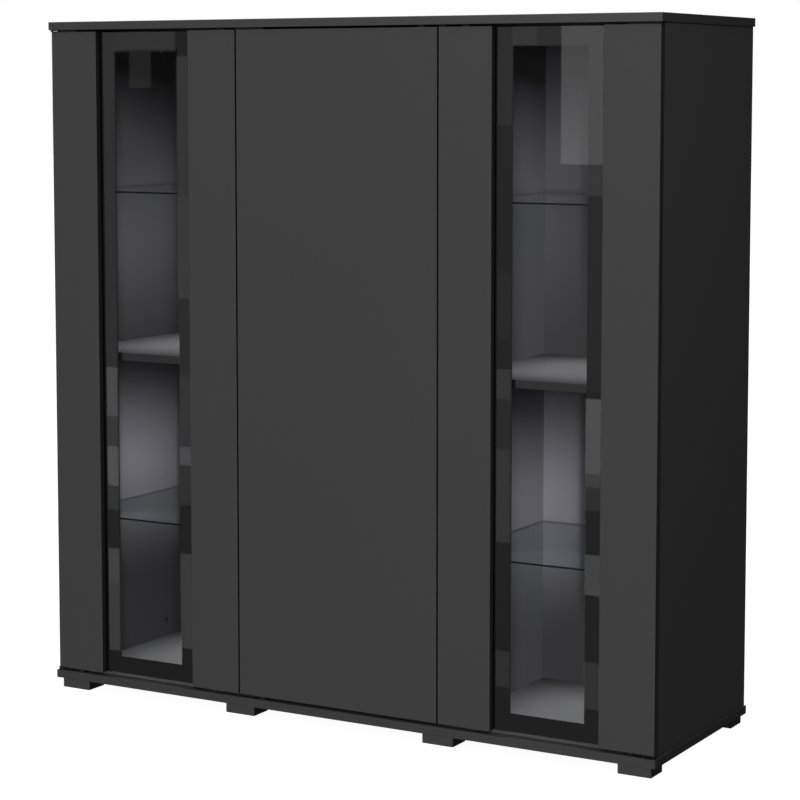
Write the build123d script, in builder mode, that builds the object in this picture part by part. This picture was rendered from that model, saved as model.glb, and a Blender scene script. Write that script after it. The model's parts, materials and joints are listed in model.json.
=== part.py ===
from build123d import *
import os

# China cabinet on low block feet: three bays behind three full-overlay doors, the outer two
# glazed and the middle one plain. Millimetres. +X is to the right, the doors face -Y and +Z is
# up. The origin is on the floor, under the centre of the top board.

# ---- Outer size ----
WIDTH = 1330  # top and bottom boards, side to side
DEPTH = 436  # top and bottom boards, front to back
BODY_HEIGHT = 1333  # underside of the bottom board to the upper face of the top board
FOOT_HEIGHT = 20
BOARD = 16  # thickness of every laminated board
EDGE_RADIUS = 0.8  # rounding of the edge banding

# ---- How the doors sit ----
SIDE_LIP = 4  # top and bottom boards beyond the side panels and doors
FRONT_LIP = 5  # top and bottom boards beyond the door faces
BACK_LIP = 1  # top and bottom boards beyond the rear edges of the panels
DOOR_AIR = 2  # back of a door to the front edges of the carcass
DOOR_GAP = 3  # between neighbouring doors
DOOR_TOP_GAP = 3.8  # door to the top board
DOOR_LOW_GAP = 5.6  # door to the bottom board

# ---- Glazed doors ----
GLASS_WIDTH = 220  # glass in view between the two strips of a door
GLASS = 4  # thickness of the door glass and of the glass shelves
GLASS_CHAMFER = 0.4
GLASS_BITE = 10  # width of the rebate that holds the glass behind each strip
GLASS_END_GAP = 1  # glass edge below the door's own end
GLASS_SIDE_GAP = 0.5  # glass edge to the wall of its rebate
RAIL_HEIGHT = 30  # flat rails across the back of a glazed door
RAIL_THICKNESS = 4
RAIL_CORNER = 2
RAIL_LAP = 30  # how far a rail reaches past the glass onto each strip
RAIL_INSET = 3  # rail's outer edge below the door's end

# ---- Pivot hinges: one plate on the board, one on the door's end, with a pin at the corner ----
PIVOT_IN = 1.5  # pin axis from the door's outer edge
PIVOT_BACK = 1  # pin axis behind the door's face
PLATE = 1.5  # thickness of a hinge plate
PLATE_LENGTH = 60
PLATE_WIDTH = 12
PLATE_EYE = 4  # radius of the eye round the pin
PIN_RADIUS = 2
PIN_PLAY = 0.05  # radial play of the pin in the door's plate
PIN_SHORT = 0.1  # pin's end short of the door

# ---- Shelves ----
SHELF_FRONT = 8  # shelf front edges behind the carcass front
SHELF_BACK_GAP = 0.5  # fixed shelf to the back panel
LOOSE_BACK_GAP = 9  # loose shelf to the back panel
LOOSE_SIDE_GAP = 1  # loose shelf to the panel on each side

# ---- Back panels ----
BACK = 3  # fibreboard thickness
BACK_BITE = 6  # how far a back panel reaches into the rebates round its bay
BACK_PLAY = 0.2

# ---- Feet ----
FOOT_WIDTH = 66
FOOT_DEPTH = 50
FOOT_END_INSET = 10.5  # end feet from the ends of the bottom board
FOOT_FRONT_INSET = 7.5  # front feet from the front edge of the bottom board
FOOT_SCREW_SPACING = 36
FOOT_SINK_DEPTH = 8  # screw heads sit in sinks, from below
FOOT_SINK_RADIUS = 4.5
FOOT_CORNER = 1.5
FOOT_CHAMFER = 0.8

# ---- Fasteners ----
HOLE_PLAY = 0.05  # radial play of a fastener in its hole
END_PLAY = 0.3  # free depth past a fastener's end
DOWEL_RADIUS = 4
DOWEL_IN_BOARD = 9.5
DOWEL_IN_PANEL = 20
DOWEL_CHAMFER = 0.6
SHELF_DOWEL_RADIUS = 3
SHELF_DOWEL_IN_PANEL = 7
SHELF_DOWEL_IN_SHELF = 17
CAM_RADIUS = 7.5
CAM_DEPTH = 12.5
CAM_FROM_END = 34  # cam centre from the end of its panel
CAM_CHANNEL = 3.3  # radius of the hollow that takes the bolt's head
CAM_SLOT = (6, 1.4, 1.5)  # length, width and depth of the driver slots
BOLT_THREAD_RADIUS = 2.5
BOLT_IN_BOARD = 11
BOLT_SHANK_RADIUS = 3.3
BOLT_SHANK_LENGTH = 24
BOLT_NECK_RADIUS = 1.8
BOLT_HEAD_RADIUS = 3
BOLT_HEAD_LENGTH = 4
BOLT_HOLE_RADIUS = 3.55
NAIL_RADIUS = 0.8
NAIL_LENGTH = 20
NAIL_HEAD = (2, 0.8)  # radius and thickness
END_NAIL_X = 100  # nails along the boards, either side of a bay's middle
FOOT_SCREW_RADIUS = 2
FOOT_SCREW_HEAD_RADIUS = 4
FOOT_SCREW_HEAD = 2.5
FOOT_SCREW_BITE = 10.5  # into the bottom board
PLATE_SCREW_RADIUS = 1.5
PLATE_SCREW_LENGTH = 12
PLATE_HEAD_RADIUS = 2.9
PLATE_HEAD = 0.8
PLATE_SINK = 0.9  # depth of the counterbore in a hinge plate
DOOR_SCREW_LENGTH = 22
RAIL_SCREW_RADIUS = 1.5
RAIL_SCREW_LENGTH = 12
RAIL_SCREW_HEAD_RADIUS = 3
RAIL_SCREW_HEAD = 1.5
LATCH_SCREW_RADIUS = 1.5
LATCH_SCREW_LENGTH = 13
LATCH_SCREW_HEAD_RADIUS = 2.6
LATCH_SCREW_HEAD = 1.5
BRACKET_SCREW_RADIUS = 1.9
BRACKET_SCREW_LENGTH = 14
BRACKET_SCREW_HEAD_RADIUS = 3.5
BRACKET_SCREW_HEAD = 2

# ---- Shelf support pins ----
PIN_PLUG_RADIUS = 2.5
PIN_PLUG_LENGTH = 7
PIN_REACH = 8  # arm under the shelf
PIN_COLLAR_RADIUS = 4
PIN_COLLAR_DROP = 1  # collar's centre below the pin's

# ---- Push latches ----
LATCH_WIDTH = 14
LATCH_HEIGHT = 20
LATCH_LENGTH = 75
LATCH_FROM_EDGE = 45  # latch centre from the free edge of its door
LATCH_INSET = 2  # latch front behind the carcass front
LATCH_BORE = 4.2  # radius
LATCH_BORE_DEPTH = 68
LATCH_CORNER = 1.5
LATCH_FLANGE = 2
LATCH_FLANGE_WIDTH = 36
LATCH_FLANGE_DEPTH = 18
PLUNGER_RADIUS = 3.9
PLUNGER_LENGTH = 35.7
PLUNGER_AIR = 0.3  # tip short of the strike plate
STRIKE_RADIUS = 6.5
STRIKE_THICKNESS = 1
SPRING_RADIUS = 2.6
SPRING_WIRE_RADIUS = 0.4
SPRING_TURNS = 8
SPRING_END_GAP = 0.8

# ---- Wall brackets ----
BRACKET_X = 120  # either side of the middle
BRACKET_WIDTH = 40
BRACKET_LEG = 40
BRACKET_SHEET = 2
WALL_HOLE_RADIUS = 3
WALL_HOLE_DROP = 24  # hole below the underside of the top board

# ---- Door bumpers ----
BUMPER_RADIUS = 2.6
BUMPER_THICKNESS = 1.6
BUMPER_ROUNDING = 0.7
BUMPER_IN = 3.3  # from the free edge of the door
BUMPER_FROM_END = 24  # from the top and bottom boards

# ---- Levels and planes worked out from the sizes above ----
front, back = -DEPTH / 2, DEPTH / 2
inner_low = FOOT_HEIGHT + BOARD  # upper face of the bottom board
inner_high = FOOT_HEIGHT + BODY_HEIGHT - BOARD  # underside of the top board
inner_height = inner_high - inner_low
door_face = front + FRONT_LIP
door_back = door_face + BOARD
carcass_front = door_back + DOOR_AIR
carcass_back = back - BACK_LIP
back_face = carcass_back - BACK  # front face of the back panels
body_width = WIDTH - 2 * SIDE_LIP
door_width = (body_width - 2 * DOOR_GAP) / 3
door_pitch = door_width + DOOR_GAP
door_low, door_high = inner_low + DOOR_LOW_GAP, inner_high - DOOR_TOP_GAP
door_height = door_high - door_low
strip_width = (door_width - GLASS_WIDTH) / 2
side_x = body_width / 2 - BOARD / 2  # centre planes of the side panels
divider_x = door_pitch / 2  # centre planes of the dividers
shelf_front = carcass_front + SHELF_FRONT
middle_z = (inner_low + inner_high) / 2
upper_z = (middle_z + BOARD / 2 + inner_high) / 2
lower_z = (middle_z - BOARD / 2 + inner_low) / 2

UP, DOWN, BACKWARD, FORWARD = (0, 0, 1), (0, 0, -1), (0, 1, 0), (0, -1, 0)
BASE = (Align.CENTER, Align.CENTER, Align.MIN)

panels = {
    "left_side_panel": -side_x,
    "left_divider": -divider_x,
    "right_divider": divider_x,
    "right_side_panel": side_x,
}
bays = {
    "left": (-side_x + BOARD / 2, -divider_x - BOARD / 2),
    "centre": (-divider_x + BOARD / 2, divider_x - BOARD / 2),
    "right": (divider_x + BOARD / 2, side_x - BOARD / 2),
}
# Each door: centre, then +1 where its hinges are on its left edge and -1 where on its right.
doors = {"left": (-door_pitch, 1), "centre": (0, 1), "right": (door_pitch, -1)}
pivots = {name: x - hand * (door_width / 2 - PIVOT_IN) for name, (x, hand) in doors.items()}
latch_offset = door_width / 2 - LATCH_FROM_EDGE
latches = {name: x + hand * latch_offset for name, (x, hand) in doors.items()}
pivot_y = door_face + PIVOT_BACK
plate_y = door_face + BOARD / 2
latch_z = inner_high - LATCH_HEIGHT / 2
latch_front = carcass_front + LATCH_INSET
bore_end = latch_front + LATCH_BORE_DEPTH
plunger_tip = door_back + STRIKE_THICKNESS + PLUNGER_AIR
plunger_end = plunger_tip + PLUNGER_LENGTH
spring_length = bore_end - plunger_end - 2 * SPRING_END_GAP
rail_zs = {
    "bottom": door_low + RAIL_INSET + RAIL_HEIGHT / 2,
    "top": door_high - RAIL_INSET - RAIL_HEIGHT / 2,
}
foot_screw_length = FOOT_HEIGHT - FOOT_SINK_DEPTH + FOOT_SCREW_HEAD + FOOT_SCREW_BITE

# ---- Where the fasteners go ----
dowel_ys = (-165, 180)
cam_ys = (-120, 140)
pin_ys = (-140, 160)
shelf_dowel_ys = {"left": (-130, 150), "centre": (-90, 110), "right": (-130, 150)}
shelf_thickness = {"left": GLASS, "centre": BOARD, "right": GLASS}  # loose shelves of each bay
back_nail_zs = (100, 390, middle_z, 980, 1270)
plate_screw_xs = (22, 48)  # from the pin, along the plate
rail_screw_x = GLASS_WIDTH / 2 + 18  # from the door's centre
bracket_screw_ys = (182, 198)
latch_screw_x = 12  # from the latch's centre
latch_flange_y = -150

foot_xs = (-WIDTH / 2 + FOOT_END_INSET + FOOT_WIDTH / 2, -divider_x)
foot_xs = foot_xs + tuple(-x for x in reversed(foot_xs))
foot_rows = {
    "front_feet": front + FOOT_FRONT_INSET + FOOT_DEPTH / 2,
    "rear_feet": back - FOOT_DEPTH / 2,
}
foot_screw_points = [
    (x + side * FOOT_SCREW_SPACING / 2, y)
    for x in foot_xs
    for y in foot_rows.values()
    for side in (-1, 1)
]

os.makedirs("parts", exist_ok=True)


def facing(points, direction):
    """One plane at each point, looking along direction."""
    return [Plane(origin=point, z_dir=direction) for point in points]


def drill(radius, depth, direction, points):
    """Cuts a blind hole into the part being built from each point, along direction."""
    with Locations(*facing(points, direction)):
        Cylinder(radius, depth, align=BASE, mode=Mode.SUBTRACT)


def add_pegs(radius, length, direction, points):
    """Adds a plain round peg from each point, along direction."""
    with Locations(*facing(points, direction)):
        Cylinder(radius, length, align=BASE)


def add_screws(head, shank, direction, points):
    """Adds cross-slotted screws. head and shank are (radius, length) from the head's face."""
    slot = head[0]
    with Locations(*facing(points, direction)):
        Cylinder(*head, align=BASE)
        Cylinder(*shank, align=BASE)
        Box(slot, slot / 4, head[1] / 2, align=BASE, mode=Mode.SUBTRACT)
        Box(slot / 4, slot, head[1] / 2, align=BASE, mode=Mode.SUBTRACT)


def side_sign(x):
    return 1 if x > 0 else -1


def bay_faces(bay):
    """The two panel faces of a bay: each face's x and the direction into the panel."""
    low, high = bays[bay]
    return ((low, (-1, 0, 0)), (high, (1, 0, 0)))


def back_nails(low, high, y):
    """Nail places round the back panel of the bay between x low and high."""
    edge_xs = (low - BACK_BITE / 2, high + BACK_BITE / 2)
    end_xs = [(low + high) / 2 + side * END_NAIL_X for side in (-1, 1)]
    end_zs = (inner_low - BACK_BITE / 2, inner_high + BACK_BITE / 2)
    return [(x, y, z) for x in edge_xs for z in back_nail_zs] + [(x, y, z) for x in end_xs for z in end_zs]


def support_z(bay, shelf_z):
    """Height of the pins under a loose shelf."""
    return shelf_z - shelf_thickness[bay] / 2 - PIN_PLUG_RADIUS - HOLE_PLAY


def plate_screws(name, z):
    """Screw places on one hinge plate of a door, at height z."""
    hand = doors[name][1]
    return [(pivots[name] + hand * x, plate_y, z) for x in plate_screw_xs]


# ---- Top and bottom boards ----
for board, low_z, joint_z, into in (
    ("bottom_panel", FOOT_HEIGHT, inner_low, DOWN),
    ("top_panel", inner_high, inner_high, UP),
):
    with BuildPart() as panel:
        with BuildSketch(Plane.XY.offset(low_z)):
            Rectangle(WIDTH, DEPTH)
        extrude(amount=BOARD)
        fillet(panel.edges(), EDGE_RADIUS)
        for low, high in bays.values():
            rebate_z = joint_z - (BACK_BITE if into == DOWN else 0)
            with BuildSketch(Plane.XY.offset(rebate_z)):
                with Locations(((low + high) / 2, back_face)):
                    Rectangle(high - low + 2 * BACK_BITE, BOARD, align=(Align.CENTER, Align.MIN))
            extrude(amount=BACK_BITE, mode=Mode.SUBTRACT)
        dowels = [(x, y, joint_z) for x in panels.values() for y in dowel_ys]
        drill(DOWEL_RADIUS + HOLE_PLAY, DOWEL_IN_BOARD + END_PLAY, into, dowels)
        bolts = [(x, y, joint_z) for x in panels.values() for y in cam_ys]
        drill(BOLT_THREAD_RADIUS + HOLE_PLAY, BOLT_IN_BOARD + END_PLAY, into, bolts)
        plates = [point for name in doors for point in plate_screws(name, joint_z)]
        drill(PLATE_SCREW_RADIUS + HOLE_PLAY, PLATE_SCREW_LENGTH, into, plates)
        nail_z = joint_z + into[2] * BACK_BITE / 2
        middles = [(low + high) / 2 for low, high in bays.values()]
        nails = [(x + side * END_NAIL_X, back_face, nail_z) for x in middles for side in (-1, 1)]
        drill(NAIL_RADIUS + HOLE_PLAY, NAIL_LENGTH - BACK + END_PLAY, FORWARD, nails)
        if board == "top_panel":
            screw_xs = [x + side * latch_screw_x for x in latches.values() for side in (-1, 1)]
            screws = [(x, latch_flange_y, joint_z) for x in screw_xs]
            drill(LATCH_SCREW_RADIUS + HOLE_PLAY, LATCH_SCREW_LENGTH - LATCH_FLANGE, UP, screws)
            screws = [(side * BRACKET_X, y, joint_z) for side in (-1, 1) for y in bracket_screw_ys]
            drill(BRACKET_SCREW_RADIUS + HOLE_PLAY, BRACKET_SCREW_LENGTH - BRACKET_SHEET, UP, screws)
        else:
            screws = [(x, y, FOOT_HEIGHT) for x, y in foot_screw_points]
            drill(FOOT_SCREW_RADIUS + HOLE_PLAY, FOOT_SCREW_BITE + END_PLAY, UP, screws)
    panel.part.label = board
    export_step(panel.part, f"parts/{board}.step")

# ---- Side panels and dividers ----
for name, x in panels.items():
    inward = -side_sign(x)
    with BuildPart() as panel:
        with BuildSketch(Plane.XY.offset(inner_low)):
            with Locations((x, carcass_front)):
                Rectangle(BOARD, carcass_back - carcass_front, align=(Align.CENTER, Align.MIN))
        extrude(amount=inner_height)
        fillet(panel.edges().filter_by(Axis.Z).group_by(Axis.Y)[0], EDGE_RADIUS)
        for bay, (low, high) in bays.items():
            for face_x, into_panel in bay_faces(bay):
                if abs(face_x + into_panel[0] * BOARD / 2 - x) > 1:
                    continue
                with BuildSketch(Plane.XY.offset(inner_low)):
                    with Locations((face_x + into_panel[0] * BACK_BITE / 2, back_face)):
                        Rectangle(BACK_BITE, BACK, align=(Align.CENTER, Align.MIN))
                extrude(amount=inner_height, mode=Mode.SUBTRACT)
                pins = [(face_x, y, support_z(bay, z)) for y in pin_ys for z in (upper_z, lower_z)]
                drill(PIN_PLUG_RADIUS + HOLE_PLAY, PIN_PLUG_LENGTH + END_PLAY, into_panel, pins)
                dowels = [(face_x, y, middle_z) for y in shelf_dowel_ys[bay]]
                drill(SHELF_DOWEL_RADIUS + HOLE_PLAY, SHELF_DOWEL_IN_PANEL + END_PLAY, into_panel, dowels)
                nails = [(face_x + into_panel[0] * BACK_BITE / 2, back_face, z) for z in back_nail_zs]
                drill(NAIL_RADIUS + HOLE_PLAY, NAIL_LENGTH - BACK + END_PLAY, FORWARD, nails)
        for end_z, into_end in ((inner_high, DOWN), (inner_low, UP)):
            dowels = [(x, y, end_z) for y in dowel_ys]
            drill(DOWEL_RADIUS + HOLE_PLAY, DOWEL_IN_PANEL + END_PLAY, into_end, dowels)
            bolts = [(x, y, end_z) for y in cam_ys]
            drill(BOLT_HOLE_RADIUS, CAM_FROM_END, into_end, bolts)
            cams = [(x + inward * BOARD / 2, y, end_z + into_end[2] * CAM_FROM_END) for y in cam_ys]
            drill(CAM_RADIUS + HOLE_PLAY, CAM_DEPTH + END_PLAY, (-inward, 0, 0), cams)
    panel.part.label = name
    export_step(panel.part, f"parts/{name}.step")

# ---- Back panels, one to a bay, in the rebates ----
for bay, (low, high) in bays.items():
    with BuildPart() as back_panel:
        with BuildSketch(Plane.XZ.offset(-back_face)):
            with Locations(((low + high) / 2, middle_z)):
                bite = 2 * (BACK_BITE - BACK_PLAY)
                Rectangle(high - low + bite, inner_height + bite)
        extrude(amount=-BACK)
        drill(NAIL_RADIUS + HOLE_PLAY, BACK, BACKWARD, back_nails(low, high, back_face))
        if bay == "centre":
            holes = [(side * BRACKET_X, back_face, inner_high - WALL_HOLE_DROP) for side in (-1, 1)]
            drill(WALL_HOLE_RADIUS, BACK, BACKWARD, holes)
    back_panel.part.label = f"{bay}_back_panel"
    export_step(back_panel.part, f"parts/{bay}_back_panel.step")

# ---- Fixed shelves at mid height ----
for bay, (low, high) in bays.items():
    with BuildPart() as shelf:
        with BuildSketch(Plane.XY.offset(middle_z - BOARD / 2)):
            with Locations(((low + high) / 2, shelf_front)):
                depth = back_face - SHELF_BACK_GAP - shelf_front
                Rectangle(high - low, depth, align=(Align.CENTER, Align.MIN))
        extrude(amount=BOARD)
        fillet(shelf.edges().filter_by(Axis.X).group_by(Axis.Y)[0], EDGE_RADIUS)
        for face_x, into_panel in bay_faces(bay):
            dowels = [(face_x, y, middle_z) for y in shelf_dowel_ys[bay]]
            into_shelf = (-into_panel[0], 0, 0)
            drill(SHELF_DOWEL_RADIUS + HOLE_PLAY, SHELF_DOWEL_IN_SHELF + END_PLAY, into_shelf, dowels)
    shelf.part.label = f"{bay}_middle_shelf"
    export_step(shelf.part, f"parts/{bay}_middle_shelf.step")

# ---- Loose shelves above and below: glass in the outer bays, board in the middle one ----
for bay, (low, high) in bays.items():
    kind = "shelf" if bay == "centre" else "glass_shelf"
    thickness = shelf_thickness[bay]
    for level, shelf_z in (("upper", upper_z), ("lower", lower_z)):
        with BuildPart() as shelf:
            with BuildSketch(Plane.XY.offset(shelf_z - thickness / 2)):
                with Locations(((low + high) / 2, shelf_front)):
                    depth = back_face - LOOSE_BACK_GAP - shelf_front
                    Rectangle(high - low - 2 * LOOSE_SIDE_GAP, depth, align=(Align.CENTER, Align.MIN))
            extrude(amount=thickness)
            if bay == "centre":
                fillet(shelf.edges(), EDGE_RADIUS)
            else:
                chamfer(shelf.edges(), GLASS_CHAMFER)
        shelf.part.label = f"{bay}_{level}_{kind}"
        export_step(shelf.part, f"parts/{bay}_{level}_{kind}.step")

# ---- Shelf support pins: a plug in the panel, a collar and a short arm ----
with BuildPart() as shelf_pins:
    for bay in bays:
        for face_x, into_panel in bay_faces(bay):
            points = [(face_x, y, support_z(bay, z)) for y in pin_ys for z in (upper_z, lower_z)]
            into_bay = (-into_panel[0], 0, 0)
            add_pegs(PIN_PLUG_RADIUS, PIN_PLUG_LENGTH, into_panel, points)
            add_pegs(PIN_PLUG_RADIUS, PIN_REACH, into_bay, points)
            collars = [(x, y, z - PIN_COLLAR_DROP) for x, y, z in points]
            add_pegs(PIN_COLLAR_RADIUS, LOOSE_SIDE_GAP - BACK_PLAY, into_bay, collars)
shelf_pins.part.label = "shelf_pins"
export_step(shelf_pins.part, "parts/shelf_pins.step")

# ---- Dowels: panels to boards, and fixed shelves to panels ----
with BuildPart() as dowels:
    for x in panels.values():
        for end_z, into_board in ((inner_high, UP), (inner_low, DOWN)):
            starts = [(x, y, end_z - into_board[2] * DOWEL_IN_PANEL) for y in dowel_ys]
            add_pegs(DOWEL_RADIUS, DOWEL_IN_PANEL + DOWEL_IN_BOARD, into_board, starts)
    for bay in bays:
        for face_x, into_panel in bay_faces(bay):
            start_x = face_x - into_panel[0] * SHELF_DOWEL_IN_SHELF
            starts = [(start_x, y, middle_z) for y in shelf_dowel_ys[bay]]
            add_pegs(SHELF_DOWEL_RADIUS, SHELF_DOWEL_IN_SHELF + SHELF_DOWEL_IN_PANEL, into_panel, starts)
    chamfer(dowels.edges(), DOWEL_CHAMFER)
dowels.part.label = "dowels"
export_step(dowels.part, "parts/dowels.step")

# ---- Cam bolts and cam locks ----
with BuildPart() as cam_bolts:
    for x in panels.values():
        for end_z, into_board in ((inner_high, UP), (inner_low, DOWN)):
            into_panel = (0, 0, -into_board[2])
            points = [(x, y, end_z) for y in cam_ys]
            add_pegs(BOLT_THREAD_RADIUS, BOLT_IN_BOARD, into_board, points)
            add_pegs(BOLT_SHANK_RADIUS, BOLT_SHANK_LENGTH, into_panel, points)
            add_pegs(BOLT_NECK_RADIUS, CAM_FROM_END, into_panel, points)
            head_z = end_z + into_panel[2] * (CAM_FROM_END - BOLT_HEAD_LENGTH)
            add_pegs(BOLT_HEAD_RADIUS, BOLT_HEAD_LENGTH, into_panel, [(x, y, head_z) for y in cam_ys])
cam_bolts.part.label = "cam_bolts"
export_step(cam_bolts.part, "parts/cam_bolts.step")

with BuildPart() as cam_locks:
    for x in panels.values():
        inward = -side_sign(x)
        face_x = x + inward * BOARD / 2
        for end_z, into_panel in ((inner_high, DOWN), (inner_low, UP)):
            cam_z = end_z + into_panel[2] * CAM_FROM_END
            faces = [(face_x, y, cam_z) for y in cam_ys]
            add_pegs(CAM_RADIUS, CAM_DEPTH, (-inward, 0, 0), faces)
            rims = [(x, y, cam_z - into_panel[2] * (CAM_RADIUS + 1)) for y in cam_ys]
            drill(CAM_CHANNEL, CAM_RADIUS + 2, into_panel, rims)
            slot_length, slot_width, slot_depth = CAM_SLOT
            with Locations(*facing(faces, (-inward, 0, 0))):
                Box(slot_length, slot_width, slot_depth, align=BASE, mode=Mode.SUBTRACT)
                Box(slot_width, slot_length, slot_depth, align=BASE, mode=Mode.SUBTRACT)
cam_locks.part.label = "cam_locks"
export_step(cam_locks.part, "parts/cam_locks.step")

# ---- Nails round the back panels ----
with BuildPart() as back_panel_nails:
    for low, high in bays.values():
        points = back_nails(low, high, carcass_back)
        add_pegs(NAIL_RADIUS, NAIL_LENGTH, FORWARD, points)
        add_pegs(*NAIL_HEAD, BACKWARD, points)
back_panel_nails.part.label = "back_panel_nails"
export_step(back_panel_nails.part, "parts/back_panel_nails.step")

# ---- Feet and their screws ----
for row, y in foot_rows.items():
    with BuildPart() as feet:
        with BuildSketch():
            with Locations(*[(x, y) for x in foot_xs]):
                Rectangle(FOOT_WIDTH, FOOT_DEPTH)
        extrude(amount=FOOT_HEIGHT)
        fillet(feet.edges().filter_by(Axis.Z), FOOT_CORNER)
        chamfer(feet.edges().group_by(Axis.Z)[0], FOOT_CHAMFER)
        holes = [(x, hole_y, 0) for x, hole_y in foot_screw_points if hole_y == y]
        drill(FOOT_SCREW_RADIUS + HOLE_PLAY, FOOT_HEIGHT, UP, holes)
        drill(FOOT_SINK_RADIUS, FOOT_SINK_DEPTH, UP, holes)
    feet.part.label = row
    export_step(feet.part, f"parts/{row}.step")

with BuildPart() as foot_screws:
    points = [(x, y, FOOT_SINK_DEPTH - FOOT_SCREW_HEAD) for x, y in foot_screw_points]
    head = (FOOT_SCREW_HEAD_RADIUS, FOOT_SCREW_HEAD)
    add_screws(head, (FOOT_SCREW_RADIUS, foot_screw_length), UP, points)
foot_screws.part.label = "foot_screws"
export_step(foot_screws.part, "parts/foot_screws.step")

# ---- Hinge plates on the boards, each with its pin ----


def plate_outline(name):
    """Eye round the pin and a straight plate along the door's end, drawn in the current sketch."""
    hand = doors[name][1]
    with Locations((pivots[name], pivot_y)):
        Circle(PLATE_EYE)
    with Locations((pivots[name] + hand * (PLATE_LENGTH + PLATE_EYE) / 2, plate_y)):
        Rectangle(PLATE_LENGTH - PLATE_EYE, PLATE_WIDTH)
    make_hull()


with BuildPart() as hinge_base_plates:
    for name in doors:
        for plate_z, to_door, gap in ((inner_high, DOWN, DOOR_TOP_GAP), (inner_low, UP, DOOR_LOW_GAP)):
            with BuildSketch(Plane.XY.offset(plate_z)):
                plate_outline(name)
            extrude(amount=PLATE, dir=to_door)
            free_face = plate_z + to_door[2] * PLATE
            screws = plate_screws(name, free_face)
            into_board = (0, 0, -to_door[2])
            drill(PLATE_HEAD_RADIUS + HOLE_PLAY, PLATE_SINK, into_board, screws)
            drill(PLATE_SCREW_RADIUS + HOLE_PLAY, PLATE, into_board, screws)
            add_pegs(PIN_RADIUS, gap - PIN_SHORT, to_door, [(pivots[name], pivot_y, plate_z)])
hinge_base_plates.part.label = "hinge_base_plates"
export_step(hinge_base_plates.part, "parts/hinge_base_plates.step")

# ---- Push latches under the top board: body, spring and plunger ----
for name, x in latches.items():
    with BuildPart() as latch_body:
        with BuildSketch(Plane.XZ.offset(-latch_front)):
            with Locations((x, latch_z)):
                RectangleRounded(LATCH_WIDTH, LATCH_HEIGHT, LATCH_CORNER)
        extrude(amount=-LATCH_LENGTH)
        with BuildSketch(Plane.XY.offset(inner_high - LATCH_FLANGE)):
            with Locations((x, latch_flange_y)):
                RectangleRounded(LATCH_FLANGE_WIDTH, LATCH_FLANGE_DEPTH, 2 * LATCH_CORNER)
        extrude(amount=LATCH_FLANGE)
        drill(LATCH_BORE, LATCH_BORE_DEPTH, BACKWARD, [(x, latch_front, latch_z)])
        holes = [(x + side * latch_screw_x, latch_flange_y, inner_high) for side in (-1, 1)]
        drill(LATCH_SCREW_RADIUS + HOLE_PLAY, LATCH_FLANGE, DOWN, holes)
    latch_body.part.label = f"{name}_latch_body"
    export_step(latch_body.part, f"parts/{name}_latch_body.step")

    with BuildPart() as plunger:
        add_pegs(PLUNGER_RADIUS, PLUNGER_LENGTH, BACKWARD, [(x, plunger_tip, latch_z)])
        chamfer(plunger.edges().group_by(Axis.Y)[0], EDGE_RADIUS)
    plunger.part.label = f"{name}_latch_plunger"
    export_step(plunger.part, f"parts/{name}_latch_plunger.step")

    with BuildPart() as spring:
        with BuildLine() as coil:
            Helix(
                pitch=spring_length / SPRING_TURNS,
                height=spring_length,
                radius=SPRING_RADIUS,
                center=(x, plunger_end + SPRING_END_GAP, latch_z),
                direction=BACKWARD,
            )
        with BuildSketch(Plane(origin=coil.line @ 0, z_dir=coil.line % 0)):
            Circle(SPRING_WIRE_RADIUS)
        sweep(path=coil.line, is_frenet=True)
    spring.part.label = f"{name}_latch_spring"
    export_step(spring.part, f"parts/{name}_latch_spring.step")

# ---- Wall brackets behind the middle door ----
with BuildPart() as wall_brackets:
    for side in (-1, 1):
        with BuildSketch(Plane.YZ.offset(side * BRACKET_X)):
            with BuildLine():
                Polyline(
                    (back_face, inner_high),
                    (back_face - BRACKET_LEG, inner_high),
                    (back_face - BRACKET_LEG, inner_high - BRACKET_SHEET),
                    (back_face - BRACKET_SHEET, inner_high - BRACKET_SHEET),
                    (back_face - BRACKET_SHEET, inner_high - BRACKET_LEG),
                    (back_face, inner_high - BRACKET_LEG),
                    close=True,
                )
            make_face()
        extrude(amount=BRACKET_WIDTH / 2, both=True)
    holes = [(side * BRACKET_X, back_face, inner_high - WALL_HOLE_DROP) for side in (-1, 1)]
    drill(WALL_HOLE_RADIUS, BRACKET_SHEET, FORWARD, holes)
    holes = [(side * BRACKET_X, y, inner_high) for side in (-1, 1) for y in bracket_screw_ys]
    drill(BRACKET_SCREW_RADIUS + HOLE_PLAY, BRACKET_SHEET, DOWN, holes)
wall_brackets.part.label = "wall_brackets"
export_step(wall_brackets.part, "parts/wall_brackets.step")

# ---- Screws that hold the hinge plates, latches and wall brackets to the boards ----
with BuildPart() as fitting_screws:
    for name, x in latches.items():
        for plate_z, into_board in ((inner_high - PLATE, UP), (inner_low + PLATE, DOWN)):
            heads = plate_screws(name, plate_z + into_board[2] * (PLATE_SINK - PLATE_HEAD))
            shank = (PLATE_SCREW_RADIUS, PLATE_SCREW_LENGTH)
            add_screws((PLATE_HEAD_RADIUS, PLATE_HEAD), shank, into_board, heads)
        z = inner_high - LATCH_FLANGE - LATCH_SCREW_HEAD
        heads = [(x + side * latch_screw_x, latch_flange_y, z) for side in (-1, 1)]
        shank = (LATCH_SCREW_RADIUS, LATCH_SCREW_HEAD + LATCH_SCREW_LENGTH - END_PLAY)
        add_screws((LATCH_SCREW_HEAD_RADIUS, LATCH_SCREW_HEAD), shank, UP, heads)
    z = inner_high - BRACKET_SHEET - BRACKET_SCREW_HEAD
    heads = [(side * BRACKET_X, y, z) for side in (-1, 1) for y in bracket_screw_ys]
    shank = (BRACKET_SCREW_RADIUS, BRACKET_SCREW_HEAD + BRACKET_SCREW_LENGTH - END_PLAY)
    add_screws((BRACKET_SCREW_HEAD_RADIUS, BRACKET_SCREW_HEAD), shank, UP, heads)
fitting_screws.part.label = "fitting_screws"
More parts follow.
